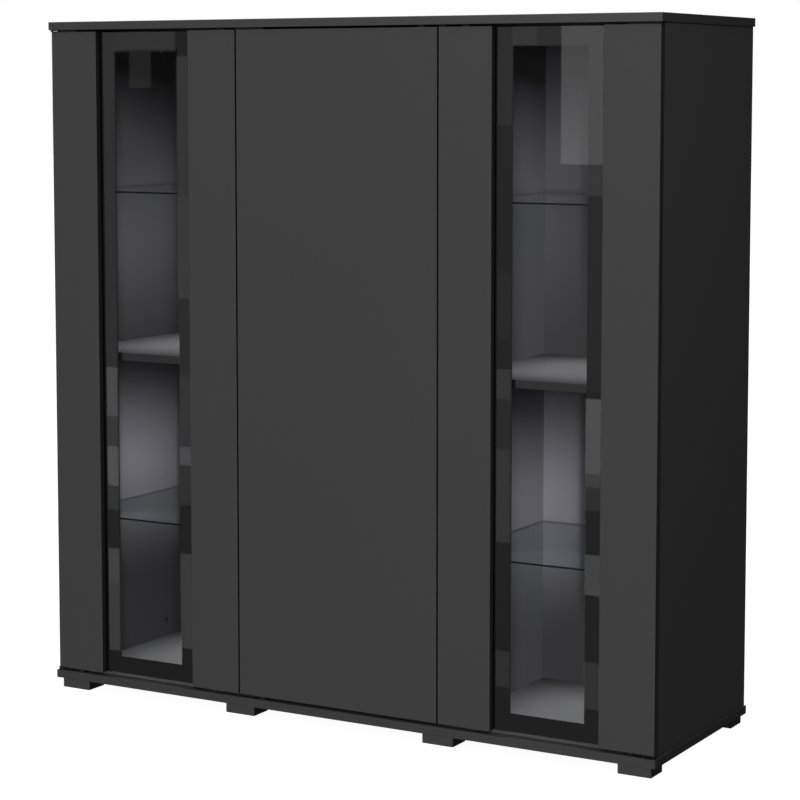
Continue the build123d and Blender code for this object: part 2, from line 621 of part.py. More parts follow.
export_step(fitting_screws.part, "parts/fitting_screws.step")

# ---- Clear bumpers on the carcass front edges, by the free edge of each door ----
with BuildPart() as door_bumpers:
    for x, hand in doors.values():
        bumper_x = x + hand * (door_width / 2 - BUMPER_IN)
        bumper_zs = (inner_low + BUMPER_FROM_END, inner_high - BUMPER_FROM_END)
        points = [(bumper_x, carcass_front, z) for z in bumper_zs]
        add_pegs(BUMPER_RADIUS, BUMPER_THICKNESS, FORWARD, points)
    fillet(door_bumpers.edges().group_by(Axis.Y)[0], BUMPER_ROUNDING)
door_bumpers.part.label = "door_bumpers"
export_step(door_bumpers.part, "parts/door_bumpers.step")

# ---- Doors ----


def door_end_holes(name):
    """Pilot holes for the hinge plate screws in both ends of a door."""
    drill(PLATE_SCREW_RADIUS + HOLE_PLAY, DOOR_SCREW_LENGTH, DOWN, plate_screws(name, door_high))
    drill(PLATE_SCREW_RADIUS + HOLE_PLAY, DOOR_SCREW_LENGTH, UP, plate_screws(name, door_low))


with BuildPart() as centre_door_panel:
    with BuildSketch(Plane.XY.offset(door_low)):
        with Locations((0, door_face)):
            Rectangle(door_width, BOARD, align=(Align.CENTER, Align.MIN))
    extrude(amount=door_height)
    fillet(centre_door_panel.edges(), EDGE_RADIUS)
    door_end_holes("centre")
centre_door_panel.part.label = "centre_door_panel"
export_step(centre_door_panel.part, "parts/centre_door_panel.step")

for name in ("left", "right"):
    door_x, hand = doors[name]
    rail_screw_xs = [door_x + side * rail_screw_x for side in (-1, 1)]
    rail_screws = [(x, door_back, z) for x in rail_screw_xs for z in rail_zs.values()]

    for place, side in (("outer", -hand), ("inner", hand)):
        strip_x = door_x + side * (GLASS_WIDTH + strip_width) / 2
        with BuildPart() as strip:
            with BuildSketch(Plane.XY.offset(door_low)):
                with Locations((strip_x, door_face)):
                    Rectangle(strip_width, BOARD, align=(Align.CENTER, Align.MIN))
            extrude(amount=door_height)
            fillet(strip.edges(), EDGE_RADIUS)
            with BuildSketch(Plane.XY.offset(door_low)):
                with Locations((door_x + side * (GLASS_WIDTH / 2 + GLASS_BITE / 2), door_back)):
                    Rectangle(GLASS_BITE, GLASS, align=(Align.CENTER, Align.MAX))
            extrude(amount=door_height, mode=Mode.SUBTRACT)
            if place == "outer":
                door_end_holes(name)
            screws = [(x, y, z) for x, y, z in rail_screws if (x - door_x) * side > 0]
            drill(RAIL_SCREW_RADIUS + HOLE_PLAY, RAIL_SCREW_LENGTH - RAIL_THICKNESS, FORWARD, screws)
        strip.part.label = f"{name}_door_{place}_strip"
        export_step(strip.part, f"parts/{name}_door_{place}_strip.step")

    with BuildPart() as pane:
        with BuildSketch(Plane.XY.offset(door_low + GLASS_END_GAP)):
            with Locations((door_x, door_back)):
                pane_width = GLASS_WIDTH + 2 * (GLASS_BITE - GLASS_SIDE_GAP)
                Rectangle(pane_width, GLASS, align=(Align.CENTER, Align.MAX))
        extrude(amount=door_height - 2 * GLASS_END_GAP)
        chamfer(pane.edges(), GLASS_CHAMFER)
    pane.part.label = f"{name}_door_glass"
    export_step(pane.part, f"parts/{name}_door_glass.step")

    for end, rail_z in rail_zs.items():
        with BuildPart() as rail:
            with BuildSketch(Plane.XZ.offset(-door_back)):
                with Locations((door_x, rail_z)):
                    RectangleRounded(GLASS_WIDTH + 2 * RAIL_LAP, RAIL_HEIGHT, RAIL_CORNER)
            extrude(amount=-RAIL_THICKNESS)
            holes = [(x, y, z) for x, y, z in rail_screws if z == rail_z]
            drill(RAIL_SCREW_RADIUS + HOLE_PLAY, RAIL_THICKNESS, BACKWARD, holes)
        rail.part.label = f"{name}_door_{end}_rail"
        export_step(rail.part, f"parts/{name}_door_{end}_rail.step")

for name, (door_x, hand) in doors.items():
    with BuildPart() as hinge_plates:
        for end_z, outward in ((door_high, UP), (door_low, DOWN)):
            with BuildSketch(Plane.XY.offset(end_z)):
                plate_outline(name)
            extrude(amount=PLATE, dir=outward)
            into_door = (0, 0, -outward[2])
            screws = plate_screws(name, end_z + outward[2] * PLATE)
            drill(PLATE_HEAD_RADIUS + HOLE_PLAY, PLATE_SINK, into_door, screws)
            drill(PLATE_SCREW_RADIUS + HOLE_PLAY, PLATE, into_door, screws)
            eye = [(pivots[name], pivot_y, end_z)]
            drill(PIN_RADIUS + PIN_PLAY, PLATE, outward, eye)
    hinge_plates.part.label = f"{name}_door_hinge_plates"
    export_step(hinge_plates.part, f"parts/{name}_door_hinge_plates.step")

    with BuildPart() as screws:
        for end_z, outward in ((door_high, UP), (door_low, DOWN)):
            into_door = (0, 0, -outward[2])
            heads = plate_screws(name, end_z + outward[2] * (PLATE - PLATE_SINK + PLATE_HEAD))
            shank = (PLATE_SCREW_RADIUS, DOOR_SCREW_LENGTH)
            add_screws((PLATE_HEAD_RADIUS, PLATE_HEAD), shank, into_door, heads)
        if name != "centre":
            head_y = door_back + RAIL_THICKNESS + RAIL_SCREW_HEAD
            rail_xs = [door_x + side * rail_screw_x for side in (-1, 1)]
            heads = [(x, head_y, z) for x in rail_xs for z in rail_zs.values()]
            shank = (RAIL_SCREW_RADIUS, RAIL_SCREW_HEAD + RAIL_SCREW_LENGTH - END_PLAY)
            add_screws((RAIL_SCREW_HEAD_RADIUS, RAIL_SCREW_HEAD), shank, FORWARD, heads)
    screws.part.label = f"{name}_door_screws"
    export_step(screws.part, f"parts/{name}_door_screws.step")

    with BuildPart() as strike_plate:
        add_pegs(STRIKE_RADIUS, STRIKE_THICKNESS, BACKWARD, [(latches[name], door_back, latch_z)])
    strike_plate.part.label = f"{name}_door_strike_plate"
    export_step(strike_plate.part, f"parts/{name}_door_strike_plate.step")

print("doors", round(door_width, 3), "x", round(door_height, 1), "pivots", pivots, "y", pivot_y)
print("levels", inner_low, lower_z, middle_z, upper_z, inner_high, "latches", latches, latch_z)
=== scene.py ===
import math

import bpy
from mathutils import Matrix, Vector
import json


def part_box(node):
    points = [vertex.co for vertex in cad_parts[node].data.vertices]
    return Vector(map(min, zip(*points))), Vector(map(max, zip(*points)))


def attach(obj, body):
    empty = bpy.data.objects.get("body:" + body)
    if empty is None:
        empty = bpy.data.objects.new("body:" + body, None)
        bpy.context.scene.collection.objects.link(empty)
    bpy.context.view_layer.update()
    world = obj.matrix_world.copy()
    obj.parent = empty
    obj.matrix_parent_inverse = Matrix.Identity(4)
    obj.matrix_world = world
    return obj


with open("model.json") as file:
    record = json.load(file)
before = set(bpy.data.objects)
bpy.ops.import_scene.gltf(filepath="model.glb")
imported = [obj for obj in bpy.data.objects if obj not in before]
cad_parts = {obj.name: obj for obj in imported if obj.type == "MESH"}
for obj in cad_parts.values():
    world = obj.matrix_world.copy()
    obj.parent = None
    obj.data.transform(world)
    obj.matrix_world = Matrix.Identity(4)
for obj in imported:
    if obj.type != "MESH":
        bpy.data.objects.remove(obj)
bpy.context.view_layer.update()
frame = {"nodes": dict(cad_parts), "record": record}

# Lengths are in metres, angles in degrees, powers in watts. Colours are linear.
X_AXIS, Y_AXIS, Z_AXIS = range(3)
SIDES = ("left", "right")  # the bays and doors with glass
WHITE = (1, 1, 1, 1)

# ---- Camera ----
CAMERA_PLACE = (2.306, -3.996, 1.2265)
CAMERA_YAW = 29.773
CAMERA_PITCH = 5.274  # down
CAMERA_LENS = 106.385
CAMERA_SHIFT_Y = -0.12

# ---- Floor, and the world's strength for each kind of ray ----
FLOOR_SIZE = 60
FLOOR_TONE = 0.55
FLOOR_MOTTLE = 0.02  # added to the tone
FLOOR_GLOW = 0.97
SKY_SEEN = 1.0
SKY_LIGHT = 0.14
SKY_MIRRORED = 0.05

# ---- Suns: azimuth and elevation that their light comes from, strength, angle across the disc ----
KEY_FROM = (-8, 10)
KEY_STRENGTH = 1.7
KEY_SOFTNESS = 20
TOP_FROM = (10, 66)
TOP_STRENGTH = 0.5
REAR_FROM = (205, 35)
REAR_STRENGTH = 1.5
SOFTNESS = 30  # of the top and rear suns
SUN_PLACE = (0, 0, 3)  # has no effect on its light

# ---- Lamps outside the cabinet ----
SIDE_LAMP_PLACE = (1.9, -1.4, 2.0)
SIDE_LAMP_SIZE = (0.8, 0.8)
SIDE_LAMP_POWER = 13
BAY_LAMP_PLACE = (2.60, -4.40, 3.1)
BAY_LAMP_AIM = (0, 0, 0.75)
BAY_LAMP_SIZE = (0.8, 2.4)
BAY_LAMP_TINT = (1.0, 0.985, 1.07)
LEFT_BAY_POWER = 500
RIGHT_BAY_POWER = 1200
BACK_LAMP_PLACE = (2.10, -4.40, 2.0)
BACK_LAMP_POWER = 260
SPOT_PLACE = (2.60, -4.40, 1.0)
SPOT_RADIUS = 0.12
LEFT_WALL = -0.645  # X of the face that is seen through the left door glass
RIGHT_WALL = 0.229  # and through the right one
SPOTS = (  # aim, cone, power, what it lights
    ((LEFT_WALL, 0.03, 0.925), 4.6, 3000, ("left_side_panel",)),
    ((LEFT_WALL, 0.03, 0.435), 3.3, 10500, ("left_side_panel",)),
    ((RIGHT_WALL, 0.20, 0.99), 5.0, 900, ("right_divider", "right_back_panel")),
    ((RIGHT_WALL, 0.20, 0.40), 4.2, 4600, ("right_divider", "right_back_panel")),
)

# ---- Lamps in the glazed bays, each hung under a glass shelf ----
SHELF_LAMP_POWER = 1.1
SHELF_LAMP_SPREAD = 50
SHELF_LAMP_DROP = 0.012  # below the glass shelf
SHELF_LAMP_COVER = (0.85, 0.8)  # of the glass shelf's width and depth

# ---- What the door glass mirrors: glowing cards in an upright plane in front of the cabinet ----
CARD_PLANE = -2.6  # its Y
LEFT_DOOR_RIMS = ((-2.40, -2.30), (-2.056, -1.95))  # X ranges that the upright print mirrors
RIGHT_DOOR_RIMS = ((-0.95, -0.86), (-0.614, -0.50))
CARDS = (  # left, right, low, high, brightness
    (*LEFT_DOOR_RIMS[0], 0.31, 1.45, 0.29),
    (*LEFT_DOOR_RIMS[0], 0.15, 0.31, 0.90),
    (*LEFT_DOOR_RIMS[0], 0.05, 0.15, 0.46),
    (*LEFT_DOOR_RIMS[0], -0.08, 0.05, 1.10),
    (*LEFT_DOOR_RIMS[0], -0.16, -0.08, 0.38),
    (*LEFT_DOOR_RIMS[0], -0.29, -0.16, 0.11),
    (*LEFT_DOOR_RIMS[0], -0.40, -0.29, 0.70),
    (*LEFT_DOOR_RIMS[0], -0.63, -0.40, 0.54),
    (*LEFT_DOOR_RIMS[1], 0.87, 1.32, 0.37),
    (*LEFT_DOOR_RIMS[1], 0.55, 0.87, 0.48),
    (*LEFT_DOOR_RIMS[1], 0.30, 0.55, 0.22),
    (*LEFT_DOOR_RIMS[1], 0.07, 0.30, 0.38),
    (*LEFT_DOOR_RIMS[1], 0.01, 0.07, 0.90),
    (*LEFT_DOOR_RIMS[1], -0.12, 0.01, 0.30),
    (*LEFT_DOOR_RIMS[1], -0.28, -0.12, 0.08),
    (*LEFT_DOOR_RIMS[1], -0.59, -0.28, 0.52),
    (-2.30, -2.06, 1.335, 1.45, 0.34),
    (-2.24, -2.155, 1.22, 1.335, 0.24),
    (*RIGHT_DOOR_RIMS[0], 1.11, 1.45, 0.20),
    (*RIGHT_DOOR_RIMS[0], 0.48, 0.68, 0.14),
    (*RIGHT_DOOR_RIMS[0], 0.30, 0.39, 0.37),
    (*RIGHT_DOOR_RIMS[0], 0.15, 0.30, 0.18),
    (*RIGHT_DOOR_RIMS[0], -0.13, 0.15, 0.36),
    (*RIGHT_DOOR_RIMS[0], -0.57, -0.46, 0.28),
    (-0.86, -0.78, 1.345, 1.45, 0.36),
    (-0.78, -0.70, 1.345, 1.45, 0.18),
    (-0.70, -0.50, 1.00, 1.45, 0.95),
    (*RIGHT_DOOR_RIMS[1], 0.91, 1.00, 0.37),
    (*RIGHT_DOOR_RIMS[1], 0.34, 0.91, 0.11),
    (*RIGHT_DOOR_RIMS[1], 0.10, 0.32, 1.05),
    (*RIGHT_DOOR_RIMS[1], 0.06, 0.10, 0.60),
    (*RIGHT_DOOR_RIMS[1], -0.01, 0.06, 0.25),
    (*RIGHT_DOOR_RIMS[1], -0.26, -0.14, 0.72),
    (*RIGHT_DOOR_RIMS[1], -0.60, -0.46, 0.33),
)

# ---- Colours ----
GRAPHITE = (0.046, 0.046, 0.0475)
GRAPHITE_EDGE = (0.035, 0.035, 0.0362)
GLUE = (0.012, 0.012, 0.012)
LACQUER = (0.044, 0.044, 0.0455)
RAW_HARDBOARD = (0.235, 0.150, 0.090)
HARDBOARD_FLECK = (0.10, 0.06, 0.035)
PRINT_BLACK = (0.006, 0.006, 0.0065)
ZINC = (0.62, 0.63, 0.64)
BLACK_STEEL = (0.007, 0.007, 0.0074)
FOOT_PLASTIC = (0.036, 0.036, 0.037)
# darker than the latches' own grey plastic: painted shade, so that they stay dark lines in the gaps
# between the doors
GREY_PLASTIC_IN_PAINTED_SHADE = (0.045, 0.045, 0.047)
RUBBER_IN_PAINTED_SHADE = (0.10, 0.10, 0.098)  # clear, over graphite board, and darkened further as painted shade in the gaps
BEECH = (0.56, 0.38, 0.22)
DOOR_GLASS_TINT = (0.90, 0.90, 0.905)
DOOR_GLASS_EDGE = (0.010, 0.016, 0.016)
SHELF_GLASS_TINT = (0.95, 0.972, 0.967)
SHELF_GLASS_EDGE = (0.003, 0.008, 0.010)

# ---- Surfaces ----
DOOR_GLASS_IOR = 1.62  # above plain glass's, because only the pane's near face mirrors
SHELF_GLASS_IOR = 1.5
GLASS_ROUGHNESS = 0.015
GLASS_EDGE_CLEARNESS = 0.7  # of a ground edge, seen from inside the glass
EDGE_BAND = 0.0009  # thickness of the band round a board
GLUE_WIDTH = 0.00012  # of the line between band and laminate
GLUE_SHARE = 0.5  # of the glue's colour, on that line
GLUE_DEPTH = 1.5  # as a multiple of the laminate's own relief
BOARD_RELIEF = 0.00003  # reliefs are depths of bumps
HARDBOARD_RELIEF = 0.00008
ZINC_RELIEF = 0.00001
COAT_RELIEF = 0.00004
MOULD_RELIEF = 0.00004
BEECH_RELIEF = 0.0001
NOISE_RANGE = (0.3, 0.7)  # most of a noise's values
FOOT_ROUGHNESS = 0.6
LATCH_ROUGHNESS = 0.4
MOULD_ROUGHNESS_SPAN = 0.05  # either way

# ---- Black print on the back of the door glass ----
PRINT_BORDER = 0.035  # its width in view
STRIP_LAP = 0.010  # of the glass, hidden behind each strip
PRINT_INSET = 0.0006  # from the outline of the glass
PRINT_SINK = 0.0003  # from the back face of the glass, into it
PRINT_FILM = 0.00006  # its thickness


# ---------------------------------------------------------------- helpers
def shade(colour, factor):
    return tuple(c * factor for c in colour)


def add_object(name, data):
    made = bpy.data.objects.new(name, data)
    bpy.context.scene.collection.objects.link(made)
    return made


def add_rectangle(name, corners):
    """A single flat face through four corners."""
    mesh = bpy.data.meshes.new(name)
    mesh.from_pydata(corners, [], [(0, 1, 2, 3)])
    return add_object(name, mesh)


class Tree:
    """A material under construction."""

    def __init__(self, name):
        self.material = bpy.data.materials.new(name)
        self.material.use_nodes = True
        self.nodes = self.material.node_tree.nodes
        self.links = self.material.node_tree.links
        self.nodes.clear()
        self.output = self.nodes.new("ShaderNodeOutputMaterial")
        self.place = self.nodes.new("ShaderNodeTexCoord")

    def link(self, source, target):
        self.links.new(source, target)

    def set(self, socket, value):
        """A number, a colour or another socket goes into a socket."""
        if isinstance(value, bpy.types.NodeSocket):
            self.link(value, socket)
        elif isinstance(value, tuple) and len(value) == 3 and socket.type == "RGBA":
            socket.default_value = (*value, 1)
        else:
            socket.default_value = value

    def math(self, operation, a, b=0.0):
        node = self.nodes.new("ShaderNodeMath")
        node.operation = operation
        self.set(node.inputs[0], a)
        self.set(node.inputs[1], b)
        return node.outputs[0]

    def mix(self, factor, a, b):
        node = self.nodes.new("ShaderNodeMix")
        node.data_type = "RGBA"
        self.set(node.inputs["Factor"], factor)
        self.set(node.inputs["A"], a)
        self.set(node.inputs["B"], b)
        return node.outputs["Result"]

    def varied(self, pattern, colour, darkest, lightest):
        """A colour that a pattern varies, between two factors of it."""
        return self.mix(pattern, shade(colour, darkest), shade(colour, lightest))

    def span(self, value, low, high, to=(0.0, 1.0)):
        """A value from low to high, spread over another range."""
        node = self.nodes.new("ShaderNodeMapRange")
        node.inputs["From Min"].default_value = low
        node.inputs["From Max"].default_value = high
        node.inputs["To Min"].default_value = to[0]
        node.inputs["To Max"].default_value = to[1]
        self.link(value, node.inputs["Value"])
        return node.outputs["Result"]

    def between(self, noise, low, high):
        """A noise, spread from low to high."""
        return self.span(noise, *NOISE_RANGE, to=(low, high))

    def stretched(self, scale):
        """The place on the piece, in metres, stretched by scale along X, Y and Z."""
        node = self.nodes.new("ShaderNodeMapping")
        node.inputs["Scale"].default_value = scale
        self.link(self.place.outputs["Object"], node.inputs["Vector"])
        return node.outputs["Vector"]

    def noise(self, scale, detail=2.0, roughness=0.5, vector=None):
        node = self.nodes.new("ShaderNodeTexNoise")
        node.inputs["Scale"].default_value = scale
        node.inputs["Detail"].default_value = detail
        node.inputs["Roughness"].default_value = roughness
        self.link(vector or self.place.outputs["Object"], node.inputs["Vector"])
        return node.outputs["Fac"]

    def axis_of(self, vector, index):
        node = self.nodes.new("ShaderNodeSeparateXYZ")
        self.link(vector, node.inputs[0])
        return node.outputs[index]

    def edges(self, axis, face, edge):
        """0 on faces that look along an axis, either way, and 1 on the edges round them."""
        along = self.math("ABSOLUTE", self.axis_of(self.place.outputs["Normal"], axis))
        return self.span(along, face, edge)

    def bump(self, height, distance, strength):
        node = self.nodes.new("ShaderNodeBump")
        node.inputs["Strength"].default_value = strength
        node.inputs["Distance"].default_value = distance
        self.link(height, node.inputs["Height"])
        return node.outputs["Normal"]

    def principled(self, colour, roughness, metallic=0.0, normal=None, specular=0.5):
        node = self.nodes.new("ShaderNodeBsdfPrincipled")
        self.set(node.inputs["Base Color"], colour)
        self.set(node.inputs["Roughness"], roughness)
        self.set(node.inputs["Metallic"], metallic)
        node.inputs["Specular IOR Level"].default_value = specular
        if normal:
            self.link(normal, node.inputs["Normal"])
        return node.outputs[0]

    def glowing(self, colour, strength):
        """A plain matt surface that gives light of its own, so that a shadow on it stays pale."""
        node = self.nodes.new("ShaderNodeBsdfPrincipled")
        self.set(node.inputs["Base Color"], colour)
        node.inputs["Roughness"].default_value = 1
        node.inputs["Specular IOR Level"].default_value = 0
        node.inputs["Emission Color"].default_value = WHITE
        node.inputs["Emission Strength"].default_value = strength
        return node.outputs[0]

    def mix_shaders(self, factor, a, b):
        node = self.nodes.new("ShaderNodeMixShader")
        self.set(node.inputs[0], factor)
        self.link(a, node.inputs[1])
        self.link(b, node.inputs[2])
        return node.outputs[0]

    def finish(self, shader):
        self.link(shader, self.output.inputs["Surface"])
        return self.material


# ---------------------------------------------------------------- materials
def laminate(name, axis, low, high):
    """Matt graphite laminate on chipboard, for a board whose thickness lies along an axis.

    Its edges are banded. low and high are the corners of the board's box.
    """
    tree = Tree(name)
    cloud = tree.noise(2.2, detail=3, roughness=0.55)
    speckle = tree.noise(900, roughness=0.6)
    face = tree.varied(cloud, GRAPHITE, 0.95, 1.05)
    face = tree.mix(tree.span(speckle, 0.35, 0.65, to=(0, 0.16)), face, shade(GRAPHITE, 1.5))
    seam = glue_line(tree, axis, low, high)
    face = tree.mix(tree.math("MULTIPLY", seam, GLUE_SHARE), face, GLUE)
    base = tree.mix(tree.edges(axis, face=0.6, edge=0.4), face, GRAPHITE_EDGE)
    roughness = tree.between(tree.noise(420, roughness=0.6), 0.50, 0.60)
    pores = tree.math("SUBTRACT", speckle, tree.math("MULTIPLY", seam, GLUE_DEPTH))
    relief = tree.bump(pores, BOARD_RELIEF, strength=0.8)
    return tree.finish(tree.principled(base, roughness, normal=relief, specular=0.35))


def glue_line(tree, axis, low, high):
    """1 on the hairline between laminate and edge band, a little in from the board's outline."""
    point = tree.place.outputs["Object"]
    nearest = None
    for side in (i for i in (X_AXIS, Y_AXIS, Z_AXIS) if i != axis):
        across = tree.axis_of(point, side)
        for gap in (
            tree.math("SUBTRACT", across, low[side]),
            tree.math("SUBTRACT", high[side], across),
        ):
            nearest = gap if nearest is None else tree.math("MINIMUM", nearest, gap)
    off = tree.math("ABSOLUTE", tree.math("SUBTRACT", nearest, EDGE_BAND))
    return tree.span(off, 0, GLUE_WIDTH, to=(1, 0))


def lacquer():
    """Matt graphite lacquer on the fronts, with a very faint orange peel."""
    tree = Tree("front_graphite")
    cloud = tree.noise(1.7)
    fine = tree.noise(1100, roughness=0.6)
    base = tree.varied(cloud, LACQUER, 0.96, 1.05)
    base = tree.mix(tree.span(fine, 0.4, 0.7, to=(0, 0.08)), base, shade(LACQUER, 1.5))
    roughness = tree.between(tree.noise(350), 0.54, 0.62)
    peel = tree.math("ADD", tree.noise(260, detail=1), tree.math("MULTIPLY", fine, 0.3))
    relief = tree.bump(peel, BOARD_RELIEF, strength=0.6)
    return tree.finish(tree.principled(base, roughness, normal=relief, specular=0.3))


def hardboard():
    """Back panel: graphite foil inside, raw pressed fibre outside."""
    tree = Tree("back_fibreboard")
    outside = tree.span(tree.axis_of(tree.place.outputs["Normal"], Y_AXIS), 0.4, 0.6)
    fibre = tree.noise(160, detail=5, roughness=0.7, vector=tree.stretched((1, 1, 0.45)))
    fleck = tree.noise(700, roughness=0.6)
    raw = tree.varied(fibre, RAW_HARDBOARD, 0.78, 1.15)
    raw = tree.mix(tree.span(fleck, 0.6, 0.75, to=(0, 0.5)), raw, HARDBOARD_FLECK)
    foil = tree.varied(tree.noise(2.2, detail=3), GRAPHITE, 0.95, 1.06)
    base = tree.mix(outside, foil, raw)
    roughness = tree.span(outside, 0, 1, to=(0.52, 0.85))
    relief = tree.bump(fibre, HARDBOARD_RELIEF, strength=0.5)
    return tree.finish(tree.principled(base, roughness, normal=relief))


def pane(name, tint, edge_colour, axis, ior):
    """Clear glass, thin along an axis.

    Its faces take a little of the light that goes through them, and its ground edges are dark.
    """
    tree = Tree(name)
    clear = tree.nodes.new("ShaderNodeBsdfTransparent")
    clear.inputs["Color"].default_value = (*tint, 1)
    gloss = tree.nodes.new("ShaderNodeBsdfGlossy")
    gloss.inputs["Roughness"].default_value = GLASS_ROUGHNESS
    gloss.inputs["Color"].default_value = WHITE
    fresnel = tree.nodes.new("ShaderNodeFresnel")
    fresnel.inputs["IOR"].default_value = ior
    back = tree.nodes.new("ShaderNodeNewGeometry").outputs["Backfacing"]
    mirror = tree.math("MULTIPLY", fresnel.outputs[0], tree.math("SUBTRACT", 1.0, back))
    face = tree.mix_shaders(mirror, clear.outputs[0], gloss.outputs[0])
    satin = tree.between(tree.noise(300), 0.25, 0.4)
    ground = tree.principled(edge_colour, satin, specular=0.2)
    see_through = tree.math("MULTIPLY", back, GLASS_EDGE_CLEARNESS)
    edge = tree.mix_shaders(see_through, ground, clear.outputs[0])
    return tree.finish(tree.mix_shaders(tree.edges(axis, face=0.75, edge=0.5), face, edge))


def black_print():
    """Ceramic print on the back of the door glass."""
    tree = Tree("glass_print")
    tone = tree.varied(tree.noise(500), PRINT_BLACK, 1, 1.3)
    return tree.finish(tree.principled(tone, 0.5, specular=0.2))


def zinc():
    """Zinc plate on the fittings, with fine drawing lines."""
    tree = Tree("zinc_plate")
    lines = tree.noise(500, detail=3, roughness=0.6)
    tone = tree.varied(tree.noise(60, detail=3), ZINC, 0.86, 1)
    roughness = tree.between(lines, 0.28, 0.42)
    relief = tree.bump(lines, ZINC_RELIEF, strength=0.5)
    return tree.finish(tree.principled(tone, roughness, metallic=0.6, normal=relief))


def powder_coat():
    """Grainy black powder coat on rails and hinge plates."""
    tree = Tree("black_powder_coat")
    grain = tree.noise(1400)
    tone = tree.varied(grain, BLACK_STEEL, 1, 1.5)
    relief = tree.bump(grain, COAT_RELIEF, strength=0.8)
    return tree.finish(tree.principled(tone, 0.65, normal=relief, specular=0.2))


def moulded(name, colour, roughness):
    """Injection-moulded plastic with a fine spark-eroded grain."""
    tree = Tree(name)
    grain = tree.noise(1100, roughness=0.6)
    tone = tree.varied(tree.noise(40), colour, 0.9, 1.12)
    smooth = roughness - MOULD_ROUGHNESS_SPAN
    rough = roughness + MOULD_ROUGHNESS_SPAN
    relief = tree.bump(grain, MOULD_RELIEF, strength=0.8)
    return tree.finish(tree.principled(tone, tree.between(grain, smooth, rough), normal=relief))


def rubber():
    """Clear rubber, which shows the dark board behind it, darkened further as painted shade in the
    gaps.
    """
    tree = Tree("clear_bumper")
    tone = tree.varied(tree.noise(200), RUBBER_IN_PAINTED_SHADE, 0.9, 1)
    return tree.finish(tree.principled(tone, 0.35))


def beech():
    """Fluted beech dowel, with its grain squeezed along Z."""
    tree = Tree("beech_dowel")
    grain = tree.noise(90, detail=4, roughness=0.6, vector=tree.stretched((1, 1, 8)))
    tone = tree.varied(grain, BEECH, 0.8, 1.15)
    relief = tree.bump(grain, BEECH_RELIEF, strength=0.6)
    return tree.finish(tree.principled(tone, 0.6, normal=relief))


# ---------------------------------------------------------------- CAD nodes
def thickness_axis(low, high):
    """The axis along which a box is thinnest."""
    size = high - low
    return min((X_AXIS, Y_AXIS, Z_AXIS), key=lambda i: size[i])


def dress(node, material):
    mesh = frame["nodes"][node].data
    mesh.materials.clear()
    mesh.materials.append(material)


def dress_all():
    """Every CAD node gets the material of its slot, and each laminated board one of its own."""
    slots = {}
    for part in frame["record"]["subparts"]:
        slots.setdefault(part["material_slot"], []).append(part["node"])
    shared = {
        "door_laminate": lacquer(),
        "back_board": hardboard(),
        "door_glass": pane(
            "door_glass", DOOR_GLASS_TINT, DOOR_GLASS_EDGE, Y_AXIS, DOOR_GLASS_IOR
        ),
        "shelf_glass": pane(
            "shelf_glass", SHELF_GLASS_TINT, SHELF_GLASS_EDGE, Z_AXIS, SHELF_GLASS_IOR
        ),
        "black_steel": powder_coat(),
        "zinc_steel": zinc(),
        "graphite_plastic": moulded("graphite_plastic", FOOT_PLASTIC, FOOT_ROUGHNESS),
        # the latch colour carries painted shade of the gaps between the doors
        "grey_plastic": moulded("grey_plastic", GREY_PLASTIC_IN_PAINTED_SHADE, LATCH_ROUGHNESS),
        "clear_rubber": rubber(),
        "beech": beech(),
    }
    for slot, material in shared.items():
        for node in slots[slot]:
            dress(node, material)
    for node in slots["graphite_laminate"]:
        low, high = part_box(node)
        axis = thickness_axis(low, high)
        dress(node, laminate("laminate_" + node, axis, low, high))


# ---------------------------------------------------------------- printed border of the door glass
def border_mesh(name, outer, inner, y, thickness):
    """A flat frame between two rectangles (x0, z0, x1, z1), from y to thickness behind it."""
    loops = [[(x0, z0), (x1, z0), (x1, z1), (x0, z1)] for x0, z0, x1, z1 in (outer, inner)]
    points = [(x, y + dy, z) for dy in (0, thickness) for loop in loops for x, z in loop]
    # points 0-3: outer loop in front, 4-7: inner loop in front, 8-11 and 12-15: the same behind
    faces = []
    for i in range(4):
        j = (i + 1) % 4
        faces += [
            (i, j, 4 + j, 4 + i),
            (8 + i, 12 + i, 12 + j, 8 + j),
            (i, 8 + i, 8 + j, j),
            (4 + i, 4 + j, 12 + j, 12 + i),
        ]
    mesh = bpy.data.meshes.new(name)
    mesh.from_pydata(points, [], faces)
    mesh.update()
    return add_object(name, mesh)


def inside(low, high, across, upright):
    """The rectangle (x0, z0, x1, z1) of a box, less a margin at its sides and at top and bottom."""
    return low.x + across, low.z + upright, high.x - across, high.z - upright


def glass_prints():
    material = black_print()
    for side in SIDES:
        low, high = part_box(side + "_door_glass")
        outline = inside(low, high, PRINT_INSET, PRINT_INSET)
        window = inside(low, high, STRIP_LAP + PRINT_BORDER, PRINT_BORDER)
        name = side + "_door_glass_print"
        piece = border_mesh(name, outline, window, high.y - PRINT_SINK, PRINT_FILM)
        piece.data.materials.append(material)
        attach(piece, side + "_door")


# ---------------------------------------------------------------- stage
def floor():
    half = FLOOR_SIZE / 2
    corners = [(-half, -half, 0), (half, -half, 0), (half, half, 0), (-half, half, 0)]
    piece = add_rectangle("floor", corners)
    tree = Tree("pale_floor")
    tone = tree.mix(tree.noise(3), (FLOOR_TONE,) * 3, (FLOOR_TONE + FLOOR_MOTTLE,) * 3)
    piece.data.materials.append(tree.finish(tree.glowing(tone, FLOOR_GLOW)))
    piece.visible_diffuse = False
    piece.visible_glossy = False


def direction(azimuth, elevation):
    """Towards an azimuth, from the front to the right, and an elevation."""
    a = math.radians(azimuth)
    e = math.radians(elevation)
    return Vector((math.sin(a) * math.cos(e), -math.cos(a) * math.cos(e), math.sin(e)))


def sun(name, source, strength, softness=SOFTNESS):
    data = bpy.data.lights.new(name, "SUN")
    data.energy = strength
    data.angle = math.radians(softness)
    return lamp(name, data, SUN_PLACE, direction(*source))


